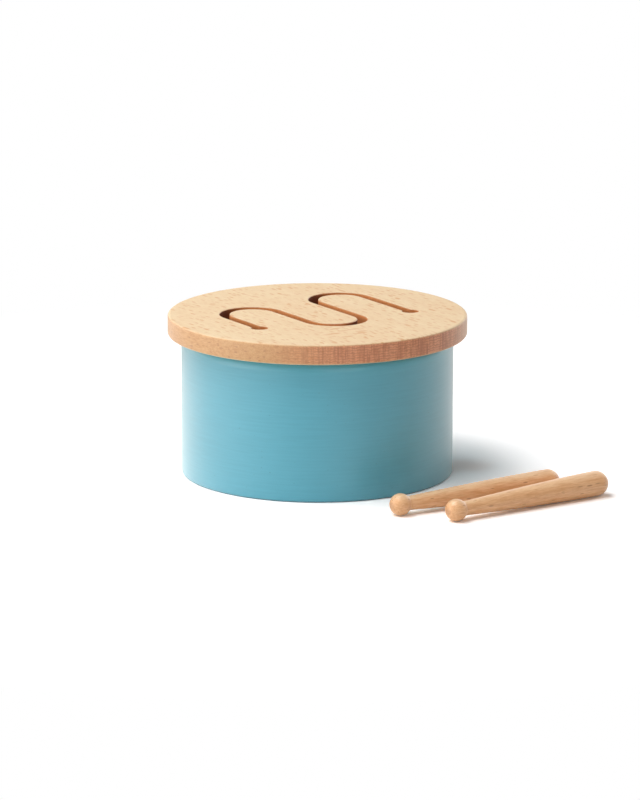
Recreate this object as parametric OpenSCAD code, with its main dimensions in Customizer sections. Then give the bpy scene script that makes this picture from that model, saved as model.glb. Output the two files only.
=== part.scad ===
// Round tongue drum: a slotted beech disc on a painted bentwood shell, with two turned beaters.
// The tongues run along Y, and the drum stands on the plane z = 0 with its axis on Z.

/* [Board] */
// Diameter of the beech disc
board_d = 180; // [176:1:220]
// Thickness of the disc
board_t = 12; // [9:0.2:16]
// Radius of the rounding along both rims of the disc
board_round = 1.5; // [0.5:0.1:3]
// How far the disc reaches past the shell
board_overhang = 8.2; // [4:0.2:10]

/* [Tongues and slot] */
// Width of one tongue
tongue_w = 28; // [22:0.5:30]
// Width of the slot between the tongues
slot_w = 6; // [3:0.5:7]
// Radius of the rounding along the slot's edges
slot_round = 0.7; // [0.3:0.1:1.2]
// Diameter of the hole that ends the slot on each side
stop_hole_d = 10; // [8:0.5:14]
// Length of the left tongue, from its stop hole to its tip
left_tongue_len = 49.4; // [42:0.2:52]
// Length of the right tongue, from its stop hole to its tip
right_tongue_len = 64.8; // [56:0.2:66]
// How far the left stop hole lies in front of the disc's centre
left_root_y = 16.6; // [12:0.2:20]
// How far the right stop hole lies in front of the disc's centre
right_root_y = 23.9; // [20:0.2:28]
// How far the tip of the middle tongue lies in front of the disc's centre
middle_tip_y = 32.6; // [26:0.2:40]

/* [Shell] */
// Height of the shell
shell_h = 84.8; // [50:0.2:120]
// Thickness of the shell's wall
shell_wall = 6.6; // [5:0.2:8.6]
// Radius of the rounding along the shell's outer lower edge
shell_round = 1.2; // [0.3:0.1:2]
// Radial width of the two glue rings
ring_w = 8.5; // [7:0.5:10]
// Height of each glue ring
ring_h = 14; // [13:0.5:24]
// Radial thickness of the glue line between a ring and the shell
glue_gap = 0.1; // [0.05:0.05:0.2]

/* [Base] */
// Thickness of the base disc
base_t = 6; // [4:0.5:9]
// How far the base disc lies above the shell's lower rim
base_recess = 1.5; // [0.5:0.1:3]
// Radial clearance between the base disc and the shell
base_gap = 0.3; // [0.2:0.1:0.8]
// Radius of the rounding along the base disc's lower edge
base_round = 0.8; // [0.3:0.1:1.5]

/* [Base screws] */
// Number of base screws
screw_count = 6; // [4:1:12]
// Diameter of a screw's shank
screw_d = 3; // [2.5:0.1:4]
// Length of a screw with its head
screw_len = 16; // [13:0.5:17]
// Diameter of a screw's countersunk head
screw_head_d = 6; // [5:0.1:7]
// Radial clearance round a screw's shank and head
screw_gap = 0.05; // [0.05:0.05:0.2]
// Length of each bar of the cross in a screw's head
screw_cross_l = 3.2; // [2:0.1:3.6]
// Width of each bar of the cross
screw_cross_w = 0.8; // [0.6:0.1:1.2]
// Depth of the cross
screw_cross_depth = 1; // [0.5:0.1:1.3]

/* [Top dowels] */
// Number of dowel pins
dowel_count = 4; // [3:1:8]
// Diameter of a dowel pin
dowel_d = 5; // [4:0.5:6]
// Wood left above a dowel hole in the disc
dowel_cover = 4.6; // [3:0.2:6]
// Depth of a dowel hole in the top ring
dowel_ring_depth = 9; // [6:0.5:11]
// Chamfer at both ends of a dowel pin
dowel_chamfer = 0.6; // [0.3:0.1:1]
// Radial clearance round a dowel pin
dowel_gap = 0.05; // [0.05:0.05:0.15]
// Clearance past each end of a dowel pin
dowel_end_gap = 0.2; // [0.1:0.1:0.3]

/* [Beaters] */
// Front beater, from the centre of its ball to the centre of its grip's round end
front_beater_span = 103.8; // [80:0.2:160]
// Rear beater, from the centre of its ball to the centre of its grip's round end
rear_beater_span = 101.8; // [80:0.2:160]
// Diameter of the ball
ball_d = 13.1; // [11:0.1:20]
// Diameter of the neck behind the ball
neck_d = 7.8; // [6:0.2:10]
// Diameter of the grip at its round end
grip_d = 15; // [11:0.1:20]

/* [Where the beaters lie] */
// Distance from the disc's front edge to the front beater's ball
front_beater_gap = 57.5; // [52:0.1:90]
// Place of the front beater's ball across the drum
front_beater_x = 2.4; // [-60:0.1:60]
// Angle of the front beater, seen from above
front_beater_turn = 3.5; // [2:0.1:8]
// Distance from the disc's front edge to the rear beater's ball
rear_beater_gap = 29.2; // [24:0.1:36]
// Place of the rear beater's ball across the drum
rear_beater_x = -17.8; // [-60:0.1:60]
// Angle of the rear beater, seen from above
rear_beater_turn = -2; // [-4:0.1:2]

/* [Hidden] */
$fn = 96;

// How far every cut runs past the face it opens
cut_over = 1;

// Heights, from the surface that the drum stands on
board_z = shell_h;
base_top_z = base_recess + base_t;
ring_top_z = board_z - ring_h;

// Radii, from the disc inwards
board_r = board_d / 2;
shell_r = board_r - board_overhang;
bore_r = shell_r - shell_wall;
ring_outer_r = bore_r - glue_gap;
ring_inner_r = ring_outer_r - ring_w;
ring_mid_r = (ring_outer_r + ring_inner_r) / 2;
base_r = bore_r - base_gap;

// The slot's legs lie one tongue and one slot apart, and its turns join neighbouring legs
leg_pitch = tongue_w + slot_w;
turn_r = leg_pitch / 2;
tip_r = tongue_w / 2;
outer_leg_x = leg_pitch + turn_r;
left_turn_y = left_tongue_len - left_root_y - tip_r;
right_turn_y = right_tongue_len - right_root_y - tip_r;
front_turn_y = tip_r - middle_tip_y;

// Screws and dowels
screw_head_h = (screw_head_d - screw_d) / 2;
screw_z = base_recess;
pilot_depth = screw_len - base_t + cut_over;
dowel_board_depth = board_t - dowel_cover;
dowel_len = dowel_board_depth + dowel_ring_depth - 2 * dowel_end_gap;

// Beaters: the ball and the grip both touch the surface, so the grip end lies a little higher
ball_r = ball_d / 2;
neck_r = neck_d / 2;
grip_r = grip_d / 2;
taper_steps = 24;
taper_power = 1.5;

// Half outline of a body of revolution whose outer rim is rounded by the radii given, low and high
module rounded_half(r, h, low_round, high_round) {
    square([r - max(low_round, high_round), h]);
    translate([0, low_round])
        square([r, h - low_round - high_round]);
    translate([r - low_round, low_round])
        circle(r = low_round);
    translate([r - high_round, h - high_round])
        circle(r = high_round);
}

// Outline across the slot: as wide as the slot, with its two upper and lower edges flared round
module slot_outline() {
    flare_w = slot_w + 2 * slot_round;
    difference() {
        translate([-flare_w / 2, -cut_over])
            square([flare_w, board_t + 2 * cut_over]);
        for (side = [-1, 1]) {
            translate([side * flare_w / 2, slot_round])
                circle(r = slot_round);
            translate([side * flare_w / 2, board_t - slot_round])
                circle(r = slot_round);
            translate([side * flare_w / 2 - slot_round, slot_round])
                square([2 * slot_round, board_t - 2 * slot_round]);
        }
    }
}

// One straight leg of the slot at x, from y_low to y_high
module slot_leg(x, y_low, y_high) {
    translate([x, y_high, 0])
        rotate([90, 0, 0])
            linear_extrude(y_high - y_low)
                slot_outline();
}

// One half-round turn of the slot about [x, y], bulging to the back (facing 1) or to the front (-1)
module slot_turn(x, y, facing) {
    translate([x, y, 0])
        rotate([0, 0, facing > 0 ? 0 : 180])
            rotate_extrude(angle = 180)
                translate([turn_r, 0])
                    slot_outline();
}

// One stop hole, flared like the slot
module stop_hole(x, y) {
    hole_r = stop_hole_d / 2;
    flare_r = hole_r + slot_round;
    translate([x, y, 0])
        rotate_extrude()
            difference() {
                translate([0, -cut_over])
                    square([flare_r, board_t + 2 * cut_over]);
                translate([flare_r, slot_round])
                    circle(r = slot_round);
                translate([flare_r, board_t - slot_round])
                    circle(r = slot_round);
                translate([hole_r, slot_round])
                    square([2 * slot_round, board_t - 2 * slot_round]);
            }
}

// The whole snaking slot, from the left stop hole to the right one
module slot() {
    stop_hole(-outer_leg_x, -left_root_y);
    slot_leg(-outer_leg_x, -left_root_y, left_turn_y);
    slot_turn(-leg_pitch, left_turn_y, 1);
    slot_leg(-turn_r, front_turn_y, left_turn_y);
    slot_turn(0, front_turn_y, -1);
    slot_leg(turn_r, front_turn_y, right_turn_y);
    slot_turn(leg_pitch, right_turn_y, 1);
    slot_leg(outer_leg_x, -right_root_y, right_turn_y);
    stop_hole(outer_leg_x, -right_root_y);
}

// Repeats its children round the drum, halfway between the tongue axis and its neighbour
module around(count, r) {
    for (i = [0 : count - 1])
        rotate([0, 0, (i + 0.5) * 360 / count])
            translate([r, 0, 0])
                children();
}

// A ring between two radii
module ring(outer, inner, h) {
    difference() {
        cylinder(r = outer, h = h);
        translate([0, 0, -cut_over])
            cylinder(r = inner, h = h + 2 * cut_over);
    }
}

module tongue_board() {
    color([0.95, 0.85, 0.70])
        translate([0, 0, board_z])
            difference() {
                rotate_extrude()
                    rounded_half(board_r, board_t, board_round, board_round);
                slot();
                around(dowel_count, ring_mid_r)
                    translate([0, 0, -cut_over])
                        cylinder(d = dowel_d + 2 * dowel_gap, h = dowel_board_depth + cut_over);
            }
}

module shell() {
    color([0.37, 0.64, 0.71])
        difference() {
            union() {
                translate([0, 0, shell_round])
                    cylinder(r = shell_r, h = shell_h - shell_round);
                rotate_extrude()
                    union() {
                        square([shell_r - shell_round, shell_round]);
                        intersection() {
                            translate([shell_r - shell_round, shell_round])
                                circle(r = shell_round);
                            square([shell_r, shell_round]);
                        }
                    }
            }
            translate([0, 0, -cut_over])
                cylinder(r = bore_r, h = shell_h + 2 * cut_over);
        }
}

module top_ring() {
    color([0.86, 0.74, 0.56])
        translate([0, 0, ring_top_z])
            difference() {
                ring(ring_outer_r, ring_inner_r, ring_h);
                around(dowel_count, ring_mid_r)
                    translate([0, 0, ring_h - dowel_ring_depth])
                        cylinder(d = dowel_d + 2 * dowel_gap, h = dowel_ring_depth + cut_over);
            }
}

module base_ring() {
    color([0.86, 0.74, 0.56])
        translate([0, 0, base_top_z])
            difference() {
                ring(ring_outer_r, ring_inner_r, ring_h);
                around(screw_count, ring_mid_r)
                    translate([0, 0, -cut_over])
                        cylinder(d = screw_d + 2 * screw_gap, h = pilot_depth + cut_over);
            }
}

module base_board() {
    head_r = screw_head_d / 2 + screw_gap;
    shank_r = screw_d / 2 + screw_gap;
    color([0.82, 0.70, 0.52])
        translate([0, 0, base_recess])
            difference() {
                rotate_extrude()
                    difference() {
                        square([base_r, base_t]);
                        translate([base_r - base_round, 0])
                            difference() {
                                translate([0, -base_round])
                                    square([2 * base_round, 2 * base_round]);
                                translate([0, base_round])
                                    circle(r = base_round);
                            }
                    }
                around(screw_count, ring_mid_r) {
                    translate([0, 0, -cut_over])
                        cylinder(r = shank_r, h = base_t + 2 * cut_over);
                    cylinder(r1 = head_r, r2 = shank_r, h = head_r - shank_r);
                    translate([0, 0, -cut_over])
                        cylinder(r = head_r, h = cut_over);
                }
            }
}

module base_screws() {
    tip_h = screw_d / 2;
    color([0.70, 0.70, 0.72])
        around(screw_count, ring_mid_r)
            translate([0, 0, screw_z])
                difference() {
                    rotate_extrude()
                        polygon([
                            [0, 0],
                            [screw_head_d / 2, 0],
                            [screw_d / 2, screw_head_h],
                            [screw_d / 2, screw_len - tip_h],
                            [0, screw_len]
                        ]);
                    for (turn = [0, 90])
                        rotate([0, 0, turn])
                            translate([-screw_cross_l / 2, -screw_cross_w / 2, -cut_over])
                                cube([screw_cross_l, screw_cross_w, screw_cross_depth + cut_over]);
                }
}

module top_dowels() {
    color([0.80, 0.66, 0.46])
        around(dowel_count, ring_mid_r)
            translate([0, 0, board_z - dowel_ring_depth + dowel_end_gap])
                rotate_extrude()
                    polygon([
                        [0, 0],
                        [dowel_d / 2 - dowel_chamfer, 0],
                        [dowel_d / 2, dowel_chamfer],
                        [dowel_d / 2, dowel_len - dowel_chamfer],
                        [dowel_d / 2 - dowel_chamfer, dowel_len],
                        [0, dowel_len]
                    ]);
}

// Radius of a beater's handle at a share of the way from the ball to the grip's end
function handle_r(along_share) =
    neck_r + (grip_r - neck_r) * (1 - pow(1 - along_share, taper_power));

// One beater of that span: its ball's centre on the Z axis, its grip along +X, on the surface
module beater(span) {
    tilt = asin((grip_r - ball_r) / span);
    translate([0, 0, ball_r])
        rotate([0, 90 - tilt, 0])
            rotate_extrude() {
                intersection() {
                    circle(r = ball_r);
                    translate([0, -ball_d])
                        square([ball_d, 2 * ball_d]);
                }
                polygon(concat(
                    [[0, 0]],
                    [for (i = [0 : taper_steps]) [handle_r(i / taper_steps), span * i / taper_steps]],
                    [[0, span]]
                ));
                translate([0, span])
                    intersection() {
                        circle(r = grip_r);
                        square([grip_r, grip_r]);
                    }
            }
}

module front_beater() {
    color([0.80, 0.62, 0.42])
        translate([front_beater_x, -board_r - front_beater_gap, 0])
            rotate([0, 0, front_beater_turn])
                beater(front_beater_span);
}

module rear_beater() {
    color([0.80, 0.62, 0.42])
        translate([rear_beater_x, -board_r - rear_beater_gap, 0])
            rotate([0, 0, rear_beater_turn])
                beater(rear_beater_span);
}

tongue_board();
shell();
top_ring();
base_ring();
base_board();
base_screws();
top_dowels();
front_beater();
rear_beater();
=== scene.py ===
import math

import bmesh
import bpy
from mathutils import Euler, Matrix, Vector
from mathutils.geometry import tessellate_polygon


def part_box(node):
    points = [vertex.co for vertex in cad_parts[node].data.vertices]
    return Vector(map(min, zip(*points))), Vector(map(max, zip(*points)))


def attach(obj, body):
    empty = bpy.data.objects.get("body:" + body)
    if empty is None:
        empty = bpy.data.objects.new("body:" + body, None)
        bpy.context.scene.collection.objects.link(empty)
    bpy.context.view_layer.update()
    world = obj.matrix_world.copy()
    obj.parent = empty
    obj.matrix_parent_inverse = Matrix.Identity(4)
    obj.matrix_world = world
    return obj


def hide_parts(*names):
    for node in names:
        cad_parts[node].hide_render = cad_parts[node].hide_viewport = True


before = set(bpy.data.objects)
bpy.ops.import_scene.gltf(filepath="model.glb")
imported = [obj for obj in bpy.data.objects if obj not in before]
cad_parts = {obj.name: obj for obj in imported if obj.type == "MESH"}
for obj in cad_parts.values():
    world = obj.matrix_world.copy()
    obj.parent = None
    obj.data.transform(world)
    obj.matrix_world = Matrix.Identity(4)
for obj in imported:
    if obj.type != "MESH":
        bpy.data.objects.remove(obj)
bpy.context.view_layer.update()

mm = 0.001  # the scene is in metres, and sizes below are in millimetres where no note says otherwise

# The camera stands where the photograph was taken: turned round the drum, then raised
photoView = {
    "turn": -32.3,  # degrees, 0 looks along +Y
    "rise": 13.11,
    "roll": 0.1,
    "distance": 2991,
    "lens": 223.2,
    "film": 36,
    "aim": (1.37, -0.87, 43.27),
    "clipEnd": 50,  # metres
}


def awayFrom(turn, rise):
    # unit vector from the drum towards a place seen at that turn and rise
    turn = math.radians(turn)
    rise = math.radians(rise)
    return Vector((
        math.sin(turn) * math.cos(rise),
        -math.cos(turn) * math.cos(rise),
        math.sin(rise),
    ))


def addObject(name, data):
    made = bpy.data.objects.new(name, data)
    bpy.context.scene.collection.objects.link(made)
    return made


def makeCamera(look):
    data = bpy.data.cameras.new("photoCamera")
    data.sensor_fit = "VERTICAL"
    data.sensor_width = look["film"]
    data.sensor_height = look["film"]
    data.lens = look["lens"]
    data.clip_end = look["clipEnd"]
    camera = addObject("photoCamera", data)
    back = awayFrom(look["turn"], look["rise"])
    camera.location = Vector(look["aim"]) * mm + back * look["distance"] * mm
    level = (-back).to_track_quat("-Z", "Y").to_matrix()
    roll = Matrix.Rotation(math.radians(look["roll"]), 3, "Z")
    camera.rotation_euler = (level @ roll).to_euler()
    bpy.context.scene.camera = camera


makeCamera(photoView)
print("camera placed")


class Wire:
    # one output of a node, with the arithmetic that the finishes and shapes are written in

    def __init__(self, graph, socket):
        self.graph = graph
        self.socket = socket

    def also(self, name):
        # another output of the same node
        return Wire(self.graph, self.socket.node.outputs[name])

    def maths(self, operation, *values):
        sockets = dict(enumerate((self, *values)))
        return self.graph.node("ShaderNodeMath", {"operation": operation}, sockets)

    def __add__(self, other):
        return self.maths("ADD", other)

    def __radd__(self, other):
        return self.maths("ADD", other)

    def __mul__(self, other):
        return self.maths("MULTIPLY", other)

    def __rmul__(self, other):
        return self.maths("MULTIPLY", other)

    def __sub__(self, other):
        return self.maths("SUBTRACT", other)

    def __rsub__(self, other):
        return (self * -1).maths("ADD", other)

    def __truediv__(self, other):
        return self.maths("DIVIDE", other)

    def __pow__(self, other):
        return self.maths("POWER", other)

    def __abs__(self):
        return self.maths("ABSOLUTE")

    def sine(self):
        return self.maths("SINE")

    def cosine(self):
        return self.maths("COSINE")

    def atMost(self, other):
        return self.maths("MINIMUM", other)

    def atLeast(self, other):
        return self.maths("MAXIMUM", other)

    def above(self, least):
        # 0 to 1 becomes least to 1
        return self * (1 - least) + least

    def wave(self):
        # a sine that runs between 0 and 1
        return self.sine() * 0.5 + 0.5


class Graph:
    # a node tree that is filled node by node

    def __init__(self, tree):
        self.tree = tree
        tree.nodes.clear()

    def feed(self, socket, value):
        if isinstance(value, Wire):
            self.tree.links.new(value.socket, socket)
        else:
            socket.default_value = value

    def node(self, kind, settings=None, sockets=None, output=0):
        made = self.tree.nodes.new(kind)
        for name, value in (settings or {}).items():
            setattr(made, name, value)
        for name, value in (sockets or {}).items():
            self.feed(made.inputs[name], value)
        return Wire(self, made.outputs[output]) if len(made.outputs) else None

    def noise(self, place, scale, detail=2, roughness=0.5, output="Fac"):
        sockets = {"Vector": place, "Scale": scale, "Detail": detail, "Roughness": roughness}
        return self.node("ShaderNodeTexNoise", None, sockets, output)

    def vector(self, operation, *values, output="Vector"):
        sockets = dict(enumerate(values))
        return self.node("ShaderNodeVectorMath", {"operation": operation}, sockets, output)

    def measure(self, operation, *values):
        # a vector operation that gives one number
        return self.vector(operation, *values, output="Value")

    def longNoise(self, place, scale, detail, roughness=0.5, output="Fac"):
        # noise with a scale for each axis: the smaller the scale, the longer the streaks
        return self.noise(self.vector("MULTIPLY", place, scale), 1, detail, roughness, output)

    def parts(self, place):
        # X, with Y and Z as the other outputs
        return self.node("ShaderNodeSeparateXYZ", None, {"Vector": place})

    def point(self, x=0, y=0, z=0):
        return self.node("ShaderNodeCombineXYZ", None, {"X": x, "Y": y, "Z": z})

    def join(self, *shapes):
        made = self.node("GeometryNodeJoinGeometry")
        for shape in shapes:
            self.tree.links.new(shape.socket, made.socket.node.inputs[0])
        return made

    def rise(self, value, low, high):
        # 0 below low and 1 above high, with a soft step between them
        sockets = {"Value": value, "From Min": low, "From Max": high}
        return self.node("ShaderNodeMapRange", {"interpolation_type": "SMOOTHSTEP"}, sockets)

    def blend(self, share, first, second, how="MIX"):
        # two colours mixed by a share: the Mix node keeps its colour sockets at 6 and 7
        settings = {"data_type": "RGBA", "blend_type": how}
        colours = [c if isinstance(c, Wire) else (*c, 1) for c in (first, second)]
        return self.node("ShaderNodeMix", settings, {0: share, 6: colours[0], 7: colours[1]}, 2)

    def bump(self, height, strength, depth):
        # depth is in millimetres
        sockets = {"Height": height, "Strength": strength, "Distance": depth * mm}
        return self.node("ShaderNodeBump", None, sockets)


def newFinish(name):
    material = bpy.data.materials.new(name)
    material.use_nodes = True
    return material, Graph(material.node_tree)


def finishWith(graph, sockets):
    surface = graph.node("ShaderNodeBsdfPrincipled", None, sockets)
    graph.node("ShaderNodeOutputMaterial", None, {"Surface": surface})


def grainPlace(graph, turn, output="Object", kind="POINT"):
    # object coordinates in millimetres, turned so that Y runs along the grain
    place = graph.node("ShaderNodeTexCoord", output=output)
    scale = 1 / mm if kind == "POINT" else 1
    sockets = {"Vector": place, "Rotation": Euler((0, 0, math.radians(-turn))), "Scale": (scale,) * 3}
    return graph.node("ShaderNodeMapping", {"vector_type": kind}, sockets)


# Noise keeps near 0.5, so these stretches of it are spread over 0 to 1
softRange = (0.3, 0.7)
firmRange = (0.35, 0.65)

# What all spindles share: how small or faint the least one is beside the largest, how much
# of one is at full strength, and how soft the choice is of which cells hold one
spindleRule = {
    "least": 0.6,
    "core": 0.45,
    "choiceStep": 0.02,
}


def spindles(graph, place, look):
    # scattered spindles, one to a cell at most: 1 inside a spindle and 0 between them
    # (a cell with no third size makes a flat pattern, the same at every height)
    cell = look["cell"]
    half = look["half"]
    least = spindleRule["least"]
    flat = cell[2] == 0
    spread = graph.vector("DIVIDE", graph.vector("ADD", place, (look["shift"],) * 3), cell)
    settings = {"voronoi_dimensions": "2D" if flat else "3D"}
    spot = graph.node("ShaderNodeTexVoronoi", settings, {"Vector": spread, "Scale": 1}, "Position")
    chance = graph.node("ShaderNodeSeparateColor", None, {"Color": spot.also("Color")})
    offset = graph.vector("SUBTRACT", spread, spot)
    stretch = (cell[0] / half[0], cell[1] / half[1], 0 if flat else cell[2] / half[2])
    reach = graph.measure("LENGTH", graph.vector("MULTIPLY", offset, stretch))
    reach = reach / chance.also("Green").above(least)
    inside = 1 - graph.rise(reach, spindleRule["core"], 1.0)
    bar = 1 - look["share"]
    chosen = graph.rise(chance, bar, bar + spindleRule["choiceStep"])
    return inside * chosen * chance.also("Blue").above(least)


# Beech. The plain colours are for the flat-sawn face, the side ones for edges along the
# grain and the end ones for end grain. In a pattern of marks, cell is the room that each
# mark has, half is half of its size, and share is how many of the cells hold one
boardBeech = {
    "grainTurn": 0,  # degrees from +Y
    "pale": (0.83, 0.645, 0.413),
    "warm": (0.81, 0.60, 0.374),
    "ring": (0.74, 0.49, 0.25),
    "fleck": (0.65, 0.32, 0.12),
    "sideFleck": (0.45, 0.20, 0.078),
    "side": (0.645, 0.352, 0.142),
    "sideStreak": (0.55, 0.265, 0.096),
    "end": (0.71, 0.285, 0.135),
    "endBand": (0.44, 0.135, 0.055),
    "endStreak": (0.86, 0.39, 0.215),
    "patchScale": (0.06, 0.025, 0.06),
    "wanderScale": (0.03, 0.006, 0.03),
    "ringPitch": 3.1,
    "ringRise": 0.8,
    "ringLean": 0.22,
    "ringWander": 9,
    "ringDepth": 0.12,
    "fibreScale": (2.2, 0.09, 2.2),
    "fibreRange": (0.45, 0.75),
    "fibreDepth": 0.4,
    "upRange": (0.5, 0.9),
    "sideDepth": 0.85,
    "endRange": (0.55, 0.98),
    "endDepth": 0.9,
    "bandScale": (0.35, 0.35, 0.05),
    "streakScale": (0.8, 0.8, 0.05),
    "streakDepth": 0.75,
    "lineScale": 0.4,
    "linePitch": 1.6,
    "lineWander": 3,
    "lineDepth": 0.65,
    "flatSawn": True,
    "flecks": {"cell": (2.4, 5.0, 2.0), "half": (0.9, 2.2, 0.75), "share": 0.6, "shift": 3.3},
    "topFlecks": {"cell": (3.8, 8.5, 0), "half": (1.2, 4.0, 1), "share": 0.6, "shift": 3.3},
    "dashes": {"cell": (9, 15, 0), "half": (1.7, 5.0, 1), "share": 0.35, "shift": 41.7},
    "flakes": {"cell": (12, 6.5, 0), "half": (6.5, 2.5, 1), "share": 0.85, "shift": 12.9},
    "flakeZone": (-14, -52, 97),
    "flakeReach": (10, 20),
    "crowdScale": 0.05,
    "crowdLeast": 0.5,
    "fleckDepth": 0.9,
    "mottleScale": (0.5, 0.22, 0.8),
    "mottleRange": (0.38, 0.66),
    "mottleTint": (0.88, 0.78, 0.68),
    "mottleDepth": 0.8,
    "topCalm": 0.55,
    "gritScale": 1.6,
    "gritRoughness": 0.12,
    "fleckPolish": 0.1,
    "gloss": 0.35,
    "rimCoat": 0.65,
    "topCoat": 0.0,
    "coatRoughness": 0.4,
    "roughness": 0.5,
    "relief": {"fibre": 0.5, "grit": 0.2, "fleck": -0.4, "streak": 0.6},
    "bumpStrength": 0.25,
    "bumpDepth": 0.05,
}

beaterBeech = {
    **boardBeech,
    "pale": (0.93, 0.635, 0.36),
    "warm": (0.91, 0.55, 0.267),
    "ring": (0.78, 0.40, 0.165),
    "fleck": (0.64, 0.29, 0.105),
    "sideFleck": (0.50, 0.19, 0.055),
    # painted light and shade: a turned beater is side grain all round, but its faces that look up or down
    # take the pale colours and its sideways faces these darker, more orange ones
    "side": (0.93, 0.495, 0.222),
    "sideStreak": (0.79, 0.36, 0.134),
    "end": (0.64, 0.30, 0.12),
    "endBand": (0.52, 0.22, 0.085),
    "endStreak": (0.76, 0.43, 0.21),
    "ringPitch": 2.4,
    "ringLean": 0.5,
    "ringWander": 6,
    "ringDepth": 0.25,
    "fibreDepth": 0.8,
    "sideDepth": 0.6,
    "endRange": (0.90, 0.99),
    "endDepth": 0.75,
    "flatSawn": False,
    "flecks": {"cell": (1.8, 7.0, 1.8), "half": (0.6, 3.0, 0.6), "share": 0.55, "shift": 3.3},
    "fleckDepth": 0.95,
    "mottleScale": (0.8, 0.10, 0.8),
    "mottleTint": (0.88, 0.76, 0.64),
    "topCalm": 0.0,
    "gloss": 0.65,
    "rimCoat": 0.5,
    "topCoat": 0.8,
    "roughness": 0.36,
}


def beechFinish(name, look):
    material, graph = newFinish(name)
    place = grainPlace(graph, look["grainTurn"])
    facing = graph.parts(grainPlace(graph, look["grainTurn"], "Normal", "VECTOR"))
    endFace = graph.rise(abs(facing.also("Y")), *look["endRange"])
    upFace = graph.rise(abs(facing.also("Z")), *look["upRange"])

    wander = graph.longNoise(place, look["wanderScale"], 2)
    parts = graph.parts(place)
    layer = parts.also("Z") * look["ringRise"] + parts * look["ringLean"] + wander * look["ringWander"]
    rings = (layer * (math.tau / look["ringPitch"])).wave()
    fibre = graph.longNoise(place, look["fibreScale"], 4, 0.6)
    patch = graph.longNoise(place, look["patchScale"], 3)
    grit = graph.noise(place, look["gritScale"], 2)
    mottle = graph.longNoise(place, look["mottleScale"], 3, 0.7)

    # medullary rays: short dashes along the grain, and broad flakes across it in one zone
    flecks = spindles(graph, place, look["flecks"])
    if look["flatSawn"]:
        fine = spindles(graph, place, look["topFlecks"])
        broad = spindles(graph, place, look["dashes"])
        flakes = spindles(graph, place, look["flakes"])
        zone = graph.measure("DISTANCE", place, look["flakeZone"])
        flakes = flakes * (1 - graph.rise(zone, *look["flakeReach"]))
        crowd = graph.rise(graph.noise(place, look["crowdScale"], 1), *firmRange)
        onTop = ((fine + broad) * crowd.above(look["crowdLeast"])).atMost(1).atLeast(flakes)
        flecks = flecks * (1 - upFace) * (1 - endFace) + onTop * upFace

    # rays seen from the end: fine upright streaks, bunched into wider darker bands, and
    # crossed by the thin lines of the growth rings
    streak = graph.longNoise(place, look["streakScale"], 3, 0.7)
    bands = graph.longNoise(place, look["bandScale"], 3, 0.6)
    level = parts.also("Z") + graph.noise(place, look["lineScale"], 2) * look["lineWander"]
    ringLines = (level * (math.tau / look["linePitch"])).wave()

    colour = graph.blend(graph.rise(patch, *softRange), look["pale"], look["warm"])
    colour = graph.blend(rings * look["ringDepth"], colour, look["ring"])
    colour = graph.blend(graph.rise(fibre, *look["fibreRange"]) * look["fibreDepth"], colour, look["ring"])
    sideColour = graph.blend(graph.rise(fibre, *firmRange), look["side"], look["sideStreak"])
    # on the board this is the rim's side grain; on the beaters it paints the sideways faces darker than
    # the top and bottom, which is painted shade
    colour = graph.blend((1 - upFace) * look["sideDepth"], colour, sideColour)
    endColour = graph.blend(graph.rise(bands, *firmRange), look["end"], look["endBand"])
    streaks = graph.rise(streak, *firmRange) * look["streakDepth"]
    endColour = graph.blend(streaks, endColour, look["endStreak"])
    endColour = graph.blend(ringLines ** 2 * look["lineDepth"], endColour, look["endBand"])
    colour = graph.blend(endFace * look["endDepth"], colour, endColour)
    calm = 1 - upFace * look["topCalm"]
    speckle = graph.rise(mottle, *look["mottleRange"]) * look["mottleDepth"] * calm
    colour = graph.blend(speckle, colour, look["mottleTint"], "MULTIPLY")
    fleckColour = graph.blend(upFace, look["sideFleck"], look["fleck"])
    colour = graph.blend(flecks * look["fleckDepth"], colour, fleckColour)

    relief = look["relief"]
    height = fibre * relief["fibre"] + grit * relief["grit"] + flecks * relief["fleck"]
    height = height + endFace * streak * relief["streak"]
    finishWith(graph, {
        "Base Color": colour,
        "Roughness": look["roughness"] + grit * look["gritRoughness"] - flecks * look["fleckPolish"],
        "Specular IOR Level": look["gloss"],
        "Coat Weight": upFace * look["topCoat"] + (1 - upFace) * look["rimCoat"],
        "Coat Roughness": look["coatRoughness"],
        "Normal": graph.bump(height, look["bumpStrength"], look["bumpDepth"]),
    })
    return material


routedWood = {
    "light": (0.91, 0.355, 0.113),
    "dark": (0.81, 0.275, 0.08),
    "markScale": (2.5, 2.5, 0.12),
    # painted shade: the colour that the walls take deep in the slot and round the stop holes
    "recessShadeColour": (0.30, 0.085, 0.025),
    "recessShadeDepth": 0.42,
    "recessShadeRange": (93.5, 96.2),  # heights between which the painted shade deep in the slot fades
    "stopHoles": ((-51, -16.6, 95), (51, -23.9, 95)),
    "holeShadeDepth": 0.6,
    "holeReach": (5.2, 7.0),
    "shadedSide": (0.845, -0.534, 0),  # painted shade goes on the walls that face this way, away from most lamps
    "shadedSideRange": (0.2, 0.9),
    # the painted shade's colour on those walls, and its strength
    "sideShade": (0.13, 0.032, 0.010),
    "sideShadeDepth": 0.95,
    "roughness": 0.7,
    "bumpStrength": 0.4,
    "bumpDepth": 0.06,
}


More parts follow.
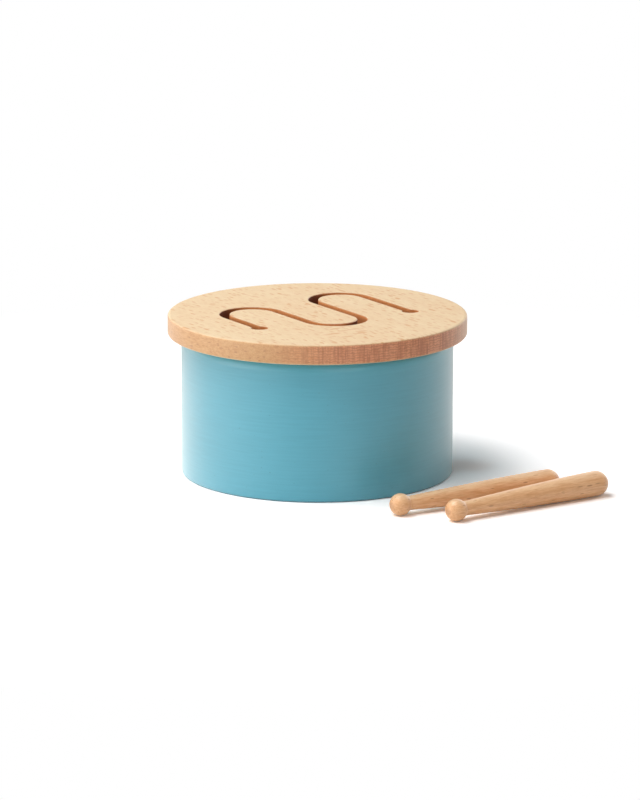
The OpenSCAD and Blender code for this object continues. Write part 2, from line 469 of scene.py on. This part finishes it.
def routedFinish(name, look):
    # the walls that the cutter left: darker, with upright cutter marks, and with painted shade deep in the
    # slot, round the stop holes and on the walls that face away from most lamps
    material, graph = newFinish(name)
    place = grainPlace(graph, 0)
    marks = graph.longNoise(place, look["markScale"], 3)
    # painted shade, darker deeper in the slot and round the stop holes
    deep = 1 - graph.rise(graph.parts(place).also("Z"), *look["recessShadeRange"])
    for hole in look["stopHoles"]:
        away = graph.measure("DISTANCE", place, hole)
        deep = deep.atLeast(look["holeShadeDepth"] * (1 - graph.rise(away, *look["holeReach"])))
    # painted shade on the walls that face away from most lamps
    facing = graph.node("ShaderNodeTexCoord", output="Normal")
    sideShade = graph.rise(graph.measure("DOT_PRODUCT", facing, look["shadedSide"]), *look["shadedSideRange"])
    colour = graph.blend(graph.rise(marks, *softRange), look["light"], look["dark"])
    colour = graph.blend(deep * look["recessShadeDepth"], colour, look["recessShadeColour"])
    colour = graph.blend(sideShade * look["sideShadeDepth"], colour, look["sideShade"])
    finishWith(graph, {
        "Base Color": colour,
        "Roughness": look["roughness"],
        "Normal": graph.bump(marks, look["bumpStrength"], look["bumpDepth"]),
    })
    return material


turquoisePaint = {
    "radius": 81.8,
    "paint": (0.053, 0.368, 0.482),
    "deep": (0.038, 0.306, 0.410),
    "light": (0.066, 0.389, 0.505),
    # the pits' colour, also used for the painted contact shadow along the foot
    "pitAndFootShade": (0.01, 0.13, 0.18),
    "grainScale": (0.03, 0.9, 1),
    "grainDepth": 0.4,
    "brushScale": (0.02, 0.5, 1),
    "cloudScale": 0.03,
    "cloudDepth": 0.12,
    "pits": {"cell": (5, 5, 0), "half": (0.5, 0.36, 1), "share": 0.2, "shift": 7.7},
    "pitRange": (0.42, 0.58),
    "pitDepth": 0.6,
    # painted contact shadow: the paint is darkened below these heights
    "footShadeRange": (0.4, 1.3),
    "footShadeDepth": 0.7,
    "roughness": 0.42,
    "grainRoughness": 0.10,
    "gloss": 0.5,
    "coat": 0.66,
    "coatRoughness": 0.3,
    "sheen": 0.44,
    "sheenTint": (1.0, 0.88, 0.74),
    "sheenRoughness": 0.6,
    "grainRelief": 0.6,
    "brushRelief": 0.5,
    "bumpStrength": 0.25,
    "bumpDepth": 0.04,
}


def paintFinish(name, look):
    # brushed satin paint on veneer whose grain runs round the hoop, with a few tiny pits and a painted
    # contact shadow along the foot
    material, graph = newFinish(name)
    parts = graph.parts(grainPlace(graph, 0))
    height = parts.also("Z")
    roundIt = parts.also("Y").maths("ARCTAN2", parts) * look["radius"]
    wrapped = graph.point(roundIt, height)
    grain = graph.longNoise(wrapped, look["grainScale"], 3, 0.7)
    brush = graph.longNoise(wrapped, look["brushScale"], 2)
    cloud = graph.noise(wrapped, look["cloudScale"], 2)
    pits = spindles(graph, wrapped, look["pits"]) * graph.rise(cloud, *look["pitRange"])
    # painted contact shadow: darker towards the bottom of the foot
    foot = 1 - graph.rise(height, *look["footShadeRange"])
    colour = graph.blend(graph.rise(grain, *firmRange) * look["grainDepth"], look["paint"], look["deep"])
    colour = graph.blend(graph.rise(cloud, *softRange) * look["cloudDepth"], colour, look["light"])
    colour = graph.blend(pits * look["pitDepth"], colour, look["pitAndFootShade"])
    colour = graph.blend(foot * look["footShadeDepth"], colour, look["pitAndFootShade"])
    relief = grain * look["grainRelief"] + brush * look["brushRelief"] - pits
    finishWith(graph, {
        "Base Color": colour,
        "Roughness": look["roughness"] + grain * look["grainRoughness"],
        "Specular IOR Level": look["gloss"],
        "Coat Weight": look["coat"],
        "Coat Roughness": look["coatRoughness"],
        "Sheen Weight": look["sheen"],
        "Sheen Tint": (*look["sheenTint"], 1),
        "Sheen Roughness": look["sheenRoughness"],
        "Normal": graph.bump(relief, look["bumpStrength"], look["bumpDepth"]),
    })
    return material


birchVeneer = {
    "grainTurn": 0,
    "pale": (0.78, 0.58, 0.37),
    "line": (0.60, 0.39, 0.21),
    "pore": (0.40, 0.24, 0.12),
    "wanderScale": (0.035, 0.012, 0.035),
    "swirl": 14,
    "lineScale": 0.5,
    "lineDepth": 0.35,
    "fibreScale": (2.0, 0.07, 2.0),
    "fibreRange": (0.4, 0.7),
    "fibreDepth": 0.3,
    "pores": {"cell": (1.2, 4.0, 1.2), "half": (0.12, 1.4, 0.3), "share": 0.4, "shift": 5.1},
    "poreDepth": 0.4,
    "roughness": 0.6,
    "fibreRoughness": 0.1,
    "gloss": 0.3,
    "bumpStrength": 0.25,
    "bumpDepth": 0.05,
}


def veneerFinish(name, look):
    # rotary-cut face veneer: long wandering growth lines and fine pores
    material, graph = newFinish(name)
    place = grainPlace(graph, look["grainTurn"])
    wander = graph.longNoise(place, look["wanderScale"], 3, output="Color")
    swirl = graph.node("ShaderNodeSeparateColor", None, {"Color": wander})
    lines = (graph.parts(place) * look["lineScale"] + swirl * look["swirl"]).wave()
    fibre = graph.longNoise(place, look["fibreScale"], 4, 0.6)
    pores = spindles(graph, place, look["pores"])
    colour = graph.blend(lines * look["lineDepth"], look["pale"], look["line"])
    colour = graph.blend(graph.rise(fibre, *look["fibreRange"]) * look["fibreDepth"], colour, look["line"])
    colour = graph.blend(pores * look["poreDepth"], colour, look["pore"])
    finishWith(graph, {
        "Base Color": colour,
        "Roughness": look["roughness"] + fibre * look["fibreRoughness"],
        "Specular IOR Level": look["gloss"],
        "Normal": graph.bump(fibre - pores, look["bumpStrength"], look["bumpDepth"]),
    })
    return material


zincSteel = {
    "bright": (0.66, 0.66, 0.68),
    "dull": (0.50, 0.50, 0.52),
    "mottleScale": 0.9,
    "scratchScale": (6, 0.8, 2),
    "roughness": 0.28,
    "scratchRoughness": 0.2,
    "bumpStrength": 0.2,
    "bumpDepth": 0.02,
}


def steelFinish(name, look):
    # zinc-plated steel with faint turning marks and a mottled plating
    material, graph = newFinish(name)
    place = grainPlace(graph, 0)
    mottle = graph.noise(place, look["mottleScale"], 4)
    scratch = graph.longNoise(place, look["scratchScale"], 3)
    finishWith(graph, {
        "Base Color": graph.blend(graph.rise(mottle, *softRange), look["bright"], look["dull"]),
        "Metallic": 1.0,
        "Roughness": look["roughness"] + scratch * look["scratchRoughness"],
        "Normal": graph.bump(scratch, look["bumpStrength"], look["bumpDepth"]),
    })
    return material


beech = beechFinish("sandedBeech", boardBeech)
routed = routedFinish("routedBeech", routedWood)
paint = paintFinish("turquoisePaint", turquoisePaint)
veneer = veneerFinish("birchVeneer", birchVeneer)
steel = steelFinish("zincSteel", zincSteel)
print("finishes made")


def register(piece, body, nodes):
    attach(piece, body)
    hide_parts(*nodes)


def makePiece(name, vertices, faces, finishes, faceFinish, body, nodes):
    # a new piece from points in millimetres, in place of the CAD nodes that it stands for
    mesh = bpy.data.meshes.new(name)
    mesh.from_pydata([Vector(v) * mm for v in vertices], [], faces)
    for finish in finishes:
        mesh.materials.append(finish)
    mesh.polygons.foreach_set("material_index", faceFinish)
    mesh.shade_smooth()
    mesh.update()
    register(addObject(name, mesh), body, nodes)


def nodeSpan(node):
    # lowest and highest corners of a CAD node, in millimetres
    low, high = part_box(node)
    return Vector(low) / mm, Vector(high) / mm


boardLow, boardHigh = nodeSpan("tongue_board")
shellLow, shellHigh = nodeSpan("shell")

tongueBoard = {
    "radius": boardHigh.x,
    "low": boardLow.z,
    "high": boardHigh.z,
    "rimRound": 1.5,
    "tongueWidth": 28,
    "slotWidth": 6,
    "slotRound": 0.7,
    "stopHole": 10,
    "leftLength": 49.4,
    "rightLength": 64.8,
    "leftRoot": 16.6,
    "rightRoot": 23.9,
    "middleTip": 32.6,
    "rimSteps": 288,
    "turnSteps": 40,
    "holeSteps": 36,
    "roundSteps": 6,
    "support": 0.35,  # width of the flat strip that keeps the shading of the faces even
}


def arcPoints(centre, radius, start, end, steps):
    turns = [math.radians(start + (end - start) * i / steps) for i in range(steps + 1)]
    return [(centre[0] + radius * math.cos(t), centre[1] + radius * math.sin(t)) for t in turns]


def slotLoop(look, grow):
    # the slot's outline, wider by grow on each side, with as many points whatever grow is
    half = look["slotWidth"] / 2 + grow
    hole = look["stopHole"] / 2 + grow
    pitch = look["tongueWidth"] + look["slotWidth"]
    tip = look["tongueWidth"] / 2
    middle = pitch / 2
    leftTurn = (-pitch, look["leftLength"] - look["leftRoot"] - tip)
    rightTurn = (pitch, look["rightLength"] - look["rightRoot"] - tip)
    frontTurn = (0, tip - look["middleTip"])
    leftHole = (-pitch - middle, -look["leftRoot"])
    rightHole = (pitch + middle, -look["rightRoot"])
    mouth = math.degrees(math.acos(half / hole))
    turnSteps = look["turnSteps"]
    holeSteps = look["holeSteps"]
    outward = []
    outward += arcPoints(leftTurn, middle + half, 180, 0, turnSteps)
    outward += arcPoints(frontTurn, middle - half, 180, 360, turnSteps)
    outward += arcPoints(rightTurn, middle + half, 180, 0, turnSteps)
    outward += arcPoints(rightHole, hole, mouth, -180 - mouth, holeSteps)
    homeward = []
    homeward += arcPoints(rightTurn, middle - half, 0, 180, turnSteps)
    homeward += arcPoints(frontTurn, middle + half, 360, 180, turnSteps)
    homeward += arcPoints(leftTurn, middle - half, 0, 180, turnSteps)
    homeward += arcPoints(leftHole, hole, mouth, -180 - mouth, holeSteps)
    return outward + homeward


def rimLoop(look, shrink):
    return arcPoints((0, 0), look["radius"] - shrink, 0, 360, look["rimSteps"])[:-1]


def edgeLevels(look, rounding):
    # from the lower face's flat strip to the upper one's: how far in from the wall, and how high
    steps = look["roundSteps"]
    strip = rounding + look["support"]
    low = [(strip, look["low"])]
    high = []
    for i in range(steps + 1):
        bend = math.radians(90 * i / steps)
        away = rounding * (1 - math.sin(bend))
        climb = rounding * (1 - math.cos(bend))
        low.append((away, look["low"] + climb))
        high.insert(0, (away, look["high"] - climb))
    return low + high + [(strip, look["high"])]


def stackLoops(vertices, faces, loops, closed=False):
    # joins each loop to the next one with a band of quads, and the last to the first where
    # closed, and returns where each loop starts
    starts = []
    count = len(loops[0])
    for loop in loops:
        starts.append(len(vertices))
        vertices.extend(loop)
    nexts = starts[1:] + starts[:1] if closed else starts[1:]
    for low, high in zip(starts, nexts):
        for i in range(count):
            j = (i + 1) % count
            faces.append((low + i, low + j, high + j, high + i))
    return starts


def buildBoard(look):
    vertices = []
    faces = []
    rim = [[(x, y, z) for x, y in rimLoop(look, away)]
           for away, z in edgeLevels(look, look["rimRound"])]
    rimStarts = stackLoops(vertices, faces, rim)
    rimFaces = len(faces)
    slot = [[(x, y, z) for x, y in slotLoop(look, away)]
            for away, z in edgeLevels(look, look["slotRound"])]
    slotStarts = stackLoops(vertices, faces, slot)
    for level, upwards in ((0, False), (-1, True)):
        edges = [[Vector(p) for p in loop] for loop in (rim[level], slot[level])]
        index = list(range(rimStarts[level], rimStarts[level] + len(rim[0])))
        index += range(slotStarts[level], slotStarts[level] + len(slot[0]))
        for corner in tessellate_polygon(edges):
            face = [index[c] for c in corner]
            a, b, c = (Vector(vertices[i]) for i in face)
            if ((b - a).cross(c - a).z > 0) != upwards:
                face.reverse()
            faces.append(tuple(face))
    # the cutter's finish covers the slot's wall and the band of the rounding on each side of it
    perBand = len(slot[0])
    first = rimFaces + look["roundSteps"] * perBand
    cutFaces = range(first, first + 3 * perBand)
    faceFinish = [int(face in cutFaces) for face in range(len(faces))]
    makePiece("tongueBoard", vertices, faces, [beech, routed], faceFinish,
              "drum", ["tongue_board"])


buildBoard(tongueBoard)
print("tongue board made")

paintedShell = {
    "radius": shellHigh.x,
    "low": shellLow.z,
    "high": shellHigh.z,
    "wall": 6.6,
    "footRound": 1.2,
    "boreRound": 0.5,
    "boreStrip": 1.4,  # height of the close row of faces above the bore's rounding
    "roundSteps": 5,
    "paintedSteps": 2,  # how much of the bore's rounding the paint covers
    "heightSteps": 12,
    "around": 360,
    "seamTurn": 62,  # degrees from +X: at the back, where the hoop's ends are scarfed together
    "seamWidth": 0.9,
    "seamDepth": 0.22,
    "seamInset": 1,  # the dip is only in faces this near to the outer radius
    "seamShares": (-2, -1, -0.5, 0, 0.5, 1, 2),  # the close steps, in halves of the seam's width
    "seamClear": 2.5,  # and how far the even steps keep away
}


def shellProfile(look):
    # (radius, height, painted) down the outside, round the foot, and up the bore
    outer = look["radius"]
    bore = outer - look["wall"]
    low = look["low"]
    top = look["high"]
    foot = look["footRound"]
    inner = look["boreRound"]
    strip = look["boreStrip"]
    heights = look["heightSteps"]
    bends = [math.radians(90 * i / look["roundSteps"]) for i in range(1, look["roundSteps"] + 1)]
    points = []
    for i in range(heights + 1):
        points.append((outer, top + (low + foot - top) * i / heights, True))
    for bend in bends:
        radius = outer - foot + foot * math.cos(bend)
        points.append((radius, low + foot - foot * math.sin(bend), True))
    points.append((bore + inner, low, True))
    for i, bend in enumerate(bends, 1):
        radius = bore + inner - inner * math.sin(bend)
        points.append((radius, low + inner - inner * math.cos(bend), i <= look["paintedSteps"]))
    points.append((bore, low + strip, False))
    for i in range(1, heights + 1):
        points.append((bore, low + strip + (top - low - strip) * i / heights, False))
    return points


def shellTurns(look):
    # even steps all round, with a few close ones across the scarf joint
    halfSeam = math.degrees(look["seamWidth"] / 2 / look["radius"])
    seam = look["seamTurn"]
    close = [seam + halfSeam * share for share in look["seamShares"]]
    even = [360 * i / look["around"] for i in range(look["around"])]
    even = [t for t in even if abs(t - seam) > look["seamClear"] * halfSeam]
    return sorted(even + close), halfSeam


def buildShell(look):
    profile = shellProfile(look)
    turns, halfSeam = shellTurns(look)
    loops = []
    for radius, height, painted in profile:
        dips = painted and radius > look["radius"] - look["seamInset"]
        loop = []
        for turn in turns:
            gap = abs(turn - look["seamTurn"]) / halfSeam
            dip = look["seamDepth"] * max(0, 1 - gap) if dips else 0
            angle = math.radians(turn)
            loop.append(((radius - dip) * math.cos(angle), (radius - dip) * math.sin(angle), height))
        loops.append(loop)
    vertices = []
    faces = []
    stackLoops(vertices, faces, loops, closed=True)
    faces = [tuple(reversed(face)) for face in faces]
    painted = [point[2] for point in profile]
    faceFinish = []
    for here, after in zip(painted, painted[1:] + painted[:1]):
        faceFinish += [0 if here and after else 1] * len(turns)
    makePiece("paintedShell", vertices, faces, [paint, veneer], faceFinish,
              "drum", ["shell"])


buildShell(paintedShell)
print("painted shell made")

turnedBeater = {
    "ball": 13.1,
    "neck": 7.8,
    "grip": 15,
    "power": 1.5,
    "ballShare": 0.26,  # share of the rows of points that go to the ball, and to the grip's end
    "endShare": 0.16,
    "rows": 150,
    "around": 96,
    "halvings": 40,
}

beaterPlaces = {
    "frontBeater": {"node": "front_beater", "x": 2.4, "y": -147.5, "turn": 3.5, "span": 103.8},
    "rearBeater": {"node": "rear_beater", "x": -17.8, "y": -119.2, "turn": -2, "span": 101.8},
}


def handleRadius(neck, grip, span, along, power):
    # works on numbers and on a tree's wires
    return neck + (grip - neck) * (1 - (1 - along / span) ** power)


def neckPlace(look, span):
    # where the ball runs into the handle, found by halving the stretch that holds it
    ball = look["ball"] / 2
    low = 0
    high = ball
    for _ in range(look["halvings"]):
        along = (low + high) / 2
        handle = handleRadius(look["neck"] / 2, look["grip"] / 2, span, along, look["power"])
        if math.sqrt(ball ** 2 - along ** 2) > handle:
            low = along
        else:
            high = along
    return low


mergeReach = 0.01  # points nearer than this become one in a tree
weldReach = 0.002  # and in a finished piece


def shapeTree(name, inputs):
    # an empty shape tree with named inputs, ready to be filled
    tree = bpy.data.node_groups.new(name, "GeometryNodeTree")
    for label, kind in inputs:
        tree.interface.new_socket(label, in_out="INPUT", socket_type=kind)
    tree.interface.new_socket("Shape", in_out="OUTPUT", socket_type="NodeSocketGeometry")
    graph = Graph(tree)
    given = graph.node("NodeGroupInput")
    return tree, graph, given


def merged(graph, shape):
    sockets = {"Geometry": shape, "Distance": mergeReach * mm}
    return graph.node("GeometryNodeMergeByDistance", None, sockets)


def finishTree(graph, shape, finish):
    real = graph.node("GeometryNodeRealizeInstances", None, {"Geometry": shape})
    done = graph.node("GeometryNodeSetMaterial", None, {"Geometry": real, "Material": finish})
    graph.node("NodeGroupOutput", None, {"Shape": done})


def turningTree(look):
    # a grid of points, rolled up: each row of the grid becomes one ring of the turned shape
    labels = ["Ball radius", "Neck radius", "Grip radius", "Span", "Neck place"]
    inputs = [(label, "NodeSocketFloat") for label in labels]
    inputs += [("Place", "NodeSocketVector"), ("Tilt", "NodeSocketVector")]
    inputs += [("Finish", "NodeSocketMaterial")]
    tree, graph, given = shapeTree("turnedBeater", inputs)
    ball = given.also("Ball radius")
    neck = given.also("Neck radius")
    grip = given.also("Grip radius")
    span = given.also("Span")
    meet = given.also("Neck place")

    sizes = {"Size X": 1.0, "Size Y": 1.0, "Vertices X": look["rows"], "Vertices Y": look["around"] + 1}
    grid = graph.node("GeometryNodeMeshGrid", None, sizes)
    flat = graph.parts(graph.node("GeometryNodeInputPosition"))
    row = flat + 0.5  # the grid is centred, so this runs from 0 at the ball to 1 at the grip's end
    roundTurn = (flat.also("Y") + 0.5) * math.tau

    ballShare = look["ballShare"]
    endShare = look["endShare"]
    ballPart = (row / ballShare).atMost(1)
    handlePart = ((row - ballShare) / (1 - ballShare - endShare)).atLeast(0).atMost(1)
    endPart = ((row - (1 - endShare)) / endShare).atLeast(0)

    ballBend = ballPart * (math.pi - (meet / ball).maths("ARCCOSINE"))
    handleAlong = meet + (span - meet) * handlePart
    handle = handleRadius(neck, grip, span, handleAlong, look["power"])
    handleStart = handleRadius(neck, grip, span, meet, look["power"])
    endBend = endPart * (math.pi / 2)

    along = (ballBend.cosine() * ball * -1) + (handleAlong - meet) + endBend.sine() * grip
    radius = ballBend.sine() * ball + (handle - handleStart) + (endBend.cosine() * grip - grip)
    spot = graph.point(along, radius * roundTurn.cosine(), radius * roundTurn.sine())
    rolled = graph.node("GeometryNodeSetPosition", None, {"Geometry": grid, "Position": spot})
    placed = graph.node("GeometryNodeTransform", None, {
        "Geometry": merged(graph, rolled),
        "Translation": given.also("Place"),
        "Rotation": given.also("Tilt"),
    })
    smooth = graph.node("GeometryNodeSetShadeSmooth", None, {"Geometry": placed})
    finishTree(graph, smooth, given.also("Finish"))
    return tree


def runTree(name, tree, values):
    # runs a shape tree on an empty mesh and keeps the result as a plain mesh
    source = addObject(name, bpy.data.meshes.new(name))
    modifier = source.modifiers.new(name, "NODES")
    modifier.node_group = tree
    for item in tree.interface.items_tree:
        if item.item_type == "SOCKET" and item.in_out == "INPUT":
            modifier[item.identifier] = values[item.name]
    bpy.context.view_layer.update()
    graph = bpy.context.evaluated_depsgraph_get()
    mesh = bpy.data.meshes.new_from_object(source.evaluated_get(graph), depsgraph=graph)
    source.modifiers.clear()
    source.data = mesh
    mesh.name = name
    return source


def faceOutwards(piece):
    shape = bmesh.new()
    shape.from_mesh(piece.data)
    bmesh.ops.remove_doubles(shape, verts=shape.verts, dist=weldReach * mm)
    bmesh.ops.recalc_face_normals(shape, faces=shape.faces)
    shape.to_mesh(piece.data)
    shape.free()
    piece.data.update()


def buildBeaters(look, places):
    tree = turningTree(look)
    for name, place in places.items():
        span = place["span"]
        tilt = math.asin((look["grip"] - look["ball"]) / 2 / span)
        # a turned piece's grain follows its own axis, and the finish reads it along Y
        finish = beechFinish(name + "Beech", {**beaterBeech, "grainTurn": place["turn"] - 90})
        piece = runTree(name, tree, {
            "Ball radius": look["ball"] / 2 * mm,
            "Neck radius": look["neck"] / 2 * mm,
            "Grip radius": look["grip"] / 2 * mm,
            "Span": span * mm,
            "Neck place": neckPlace(look, span) * mm,
            "Place": (place["x"] * mm, place["y"] * mm, look["ball"] / 2 * mm),
            "Tilt": (0, -tilt, math.radians(place["turn"])),
            "Finish": finish,
        })
        faceOutwards(piece)
        register(piece, place["node"], [place["node"]])


buildBeaters(turnedBeater, beaterPlaces)
print("beaters turned")

baseScrews = {
    "count": 6,
    "circle": 70.85,
    "bottom": 1.5,
    "head": 6.0,
    "shank": 3.0,
    "length": 16,
    "recess": 3.2,
    "recessWidth": 0.8,
    "recessDepth": 1.0,
    "around": 48,
    "turnSeed": 11,
}


def screwTree(look):
    labels = ["Circle radius", "Head radius", "Shank radius", "Length"]
    labels += ["Recess width", "Recess length", "Recess depth"]
    inputs = [("Count", "NodeSocketInt"), ("Height", "NodeSocketVector"), ("Finish", "NodeSocketMaterial")]
    inputs += [(label, "NodeSocketFloat") for label in labels]
    tree, graph, given = shapeTree("baseScrews", inputs)
    head = given.also("Head radius")
    shank = given.also("Shank radius")
    length = given.also("Length")
    headHeight = head - shank  # a head of 90 degrees
    around = look["around"]

    def lifted(shape, height):
        move = graph.point(z=height)
        return graph.node("GeometryNodeTransform", None, {"Geometry": shape, "Translation": move})

    cone = graph.node("GeometryNodeMeshCone", None, {
        "Vertices": around,
        "Radius Top": shank,
        "Radius Bottom": head,
        "Depth": headHeight,
    })
    rod = graph.node("GeometryNodeMeshCylinder", None, {
        "Vertices": around,
        "Radius": shank,
        "Depth": length - headHeight - shank,
    })
    tip = graph.node("GeometryNodeMeshCone", None, {
        "Vertices": around,
        "Radius Top": 0.0,
        "Radius Bottom": shank,
        "Depth": shank,
    })
    rod = lifted(rod, headHeight + (length - headHeight - shank) / 2)
    body = merged(graph, graph.join(cone, rod, lifted(tip, length - shank)))

    across = given.also("Recess width")
    reach = given.also("Recess length")
    deep = given.also("Recess depth") * 2
    bars = []
    for x, y in ((reach, across), (across, reach)):
        bars.append(graph.node("GeometryNodeMeshCube", None, {"Size": graph.point(x, y, deep)}))
    cut = graph.node("GeometryNodeMeshBoolean", {"operation": "DIFFERENCE"}, {
        "Mesh 1": body,
        "Mesh 2": graph.join(*bars),
    })

    ring = graph.node("GeometryNodeMeshCircle", None, {
        "Vertices": given.also("Count"),
        "Radius": given.also("Circle radius"),
    })
    centred = graph.node("GeometryNodeTransform", None, {
        "Geometry": ring,
        "Translation": given.also("Height"),
        "Rotation": Euler((0, 0, math.pi / look["count"])),
    })
    # the random node's number sockets: 3 is the most, and output 1 is the number
    anyTurn = {3: math.tau, "Seed": look["turnSeed"]}
    turn = graph.node("FunctionNodeRandomValue", {"data_type": "FLOAT"}, anyTurn, 1)
    spots = graph.node("GeometryNodeInstanceOnPoints", None, {
        "Points": centred,
        "Instance": cut,
        "Rotation": graph.point(z=turn),
    })
    finishTree(graph, spots, given.also("Finish"))
    return tree


def buildScrews(look):
    piece = runTree("baseScrews", screwTree(look), {
        "Count": look["count"],
        "Height": (0, 0, look["bottom"] * mm),
        "Finish": steel,
        "Circle radius": look["circle"] * mm,
        "Head radius": look["head"] / 2 * mm,
        "Shank radius": look["shank"] / 2 * mm,
        "Length": look["length"] * mm,
        "Recess width": look["recessWidth"] * mm,
        "Recess length": look["recess"] * mm,
        "Recess depth": look["recessDepth"] * mm,
    })
    register(piece, "drum", ["base_screws"])


buildScrews(baseScrews)
print("base screws made")


innerFinishes = {
    "top_ring": veneer,
    "base_ring": veneer,
    "base_board": veneer,
    "top_dowels": beech,
}

for node, finish in innerFinishes.items():
    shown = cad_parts[node]
    shown.data.materials.clear()
    shown.data.materials.append(finish)
print("inner pieces finished")

plainWhite = (1, 1, 1, 1)

studio = {
    "world": 0.05,
    "floorSize": 12000,
    "floor": 0.86,
    "shownFloor": (1.45, 1.43, 1.43),  # the camera's exposure burns the paper white
    "paperShadeBesideDrum": (1.20, 1.05, 1.00),  # painted shadow on the paper beside the drum's foot, on the camera's right, warm against the colour that the paint throws on it
    "besidePlace": (0.0795, -0.0385, 0),  # metres, as are the three values below
    "besideReach": (0.004, 0.026),
    "shadowReach": (0.26, 0.50),  # distances from the drum over which the floor turns plain white
    "lampAim": (0, 0, 0.05),
}

# Soft lamps: turn is from the camera, positive to its right, and level is how bright they
# make a white face that looks straight at them
softLamps = {
    "frontTop": {"turn": -30, "rise": 65, "distance": 1500, "size": 800, "level": 0.287},
    "cornerTop": {"turn": -60, "rise": 65, "distance": 1500, "size": 800, "level": 0.243},
    "leftTop": {"turn": -120, "rise": 65, "distance": 1500, "size": 800, "level": 0.238},
    "backTop": {"turn": -150, "rise": 65, "distance": 1500, "size": 800, "level": 0.124},
    "leftPanel": {"turn": -95, "rise": 38, "distance": 1500, "size": 800, "level": 0.157},
    "leftLow": {"turn": -125, "rise": 12, "distance": 1500, "size": 800, "level": 0.143},
    "cornerLow": {"turn": -65, "rise": 12, "distance": 1500, "size": 800, "level": 0.157},
    "leftCard": {"turn": -75, "rise": 2, "distance": 700, "size": 450, "height": 130, "level": 0.099},
    "frontCard": {"turn": -40, "rise": 2, "distance": 700, "size": 450, "height": 130, "level": 0.073},
    "frontFill": {"turn": 20, "rise": 12, "distance": 1500, "size": 800, "level": 0.117},
    "rightPanel": {"turn": 110, "rise": 38, "distance": 1500, "size": 800, "level": 0.049},
    "rightCard": {"turn": 120, "rise": 2, "distance": 700, "size": 450, "height": 130, "level": 0.032},
    "backPanel": {"turn": 150, "rise": 12, "distance": 1500, "size": 800, "level": 0.122},
}


def seenDirectly(graph):
    # 1 for what the camera sees, itself or through a mirror or glass, and 0 for lighting
    ray = graph.node("ShaderNodeLightPath")
    shown = ray.also("Is Camera Ray").atLeast(ray.also("Is Glossy Ray"))
    return shown.atLeast(ray.also("Is Transmission Ray"))


def buildWorld(look):
    world = bpy.data.worlds.new("paleStudio")
    bpy.context.scene.world = world
    world.use_nodes = True
    graph = Graph(world.node_tree)
    seen = seenDirectly(graph)
    light = graph.node("ShaderNodeBackground", None, {"Color": plainWhite, "Strength": look["world"]})
    white = graph.node("ShaderNodeBackground", None, {"Color": plainWhite, "Strength": 1.0})
    both = graph.node("ShaderNodeMixShader", None, {0: seen, 1: light, 2: white})
    graph.node("ShaderNodeOutputWorld", None, {"Surface": both})


def buildFloor(look):
    half = look["floorSize"] / 2 * mm
    mesh = bpy.data.meshes.new("paleFloor")
    corners = [(-half, -half, 0), (half, -half, 0), (half, half, 0), (-half, half, 0)]
    mesh.from_pydata(corners, [], [(0, 1, 2, 3)])
    floor = addObject("paleFloor", mesh)
    material, graph = newFinish("palePaper")
    seen = seenDirectly(graph)
    plain = graph.node("ShaderNodeBsdfDiffuse", None, {"Color": (look["floor"],) * 3 + (1,)})
    white = graph.node("ShaderNodeEmission", None, {"Color": plainWhite, "Strength": 1.0})
    place = graph.node("ShaderNodeTexCoord", output="Object")
    far = graph.rise(graph.measure("LENGTH", place), *look["shadowReach"])
    # painted shadow: the paper is darker and warmer near the drum's foot on the camera's right
    beside = graph.rise(graph.measure("DISTANCE", place, look["besidePlace"]), *look["besideReach"])
    paper = graph.blend(beside, look["paperShadeBesideDrum"], look["shownFloor"])
    shown = graph.node("ShaderNodeBsdfDiffuse", None, {"Color": paper})
    shown = graph.node("ShaderNodeMixShader", None, {0: far, 1: shown, 2: white})
    both = graph.node("ShaderNodeMixShader", None, {0: seen, 1: plain, 2: shown})
    graph.node("ShaderNodeOutputMaterial", None, {"Surface": both})
    mesh.materials.append(material)


def buildLamps(lamps, aim):
    for name, lamp in lamps.items():
        data = bpy.data.lights.new(name, "AREA")
        data.shape = "RECTANGLE"
        data.size = lamp["size"] * mm
        data.size_y = lamp.get("height", lamp["size"]) * mm
        distance = lamp["distance"] * mm
        # its power spreads over pi times the distance squared, and white sends back 1 / pi of it
        data.energy = lamp["level"] * (math.pi * distance) ** 2
        light = addObject(name, data)
        away = awayFrom(photoView["turn"] + lamp["turn"], lamp["rise"])
        light.location = Vector(aim) + away * distance
        light.rotation_euler = away.to_track_quat("Z", "Y").to_euler()


buildWorld(studio)
buildFloor(studio)
buildLamps(softLamps, studio["lampAim"])
bpy.context.scene.view_settings.view_transform = "Standard"
print("studio lit")
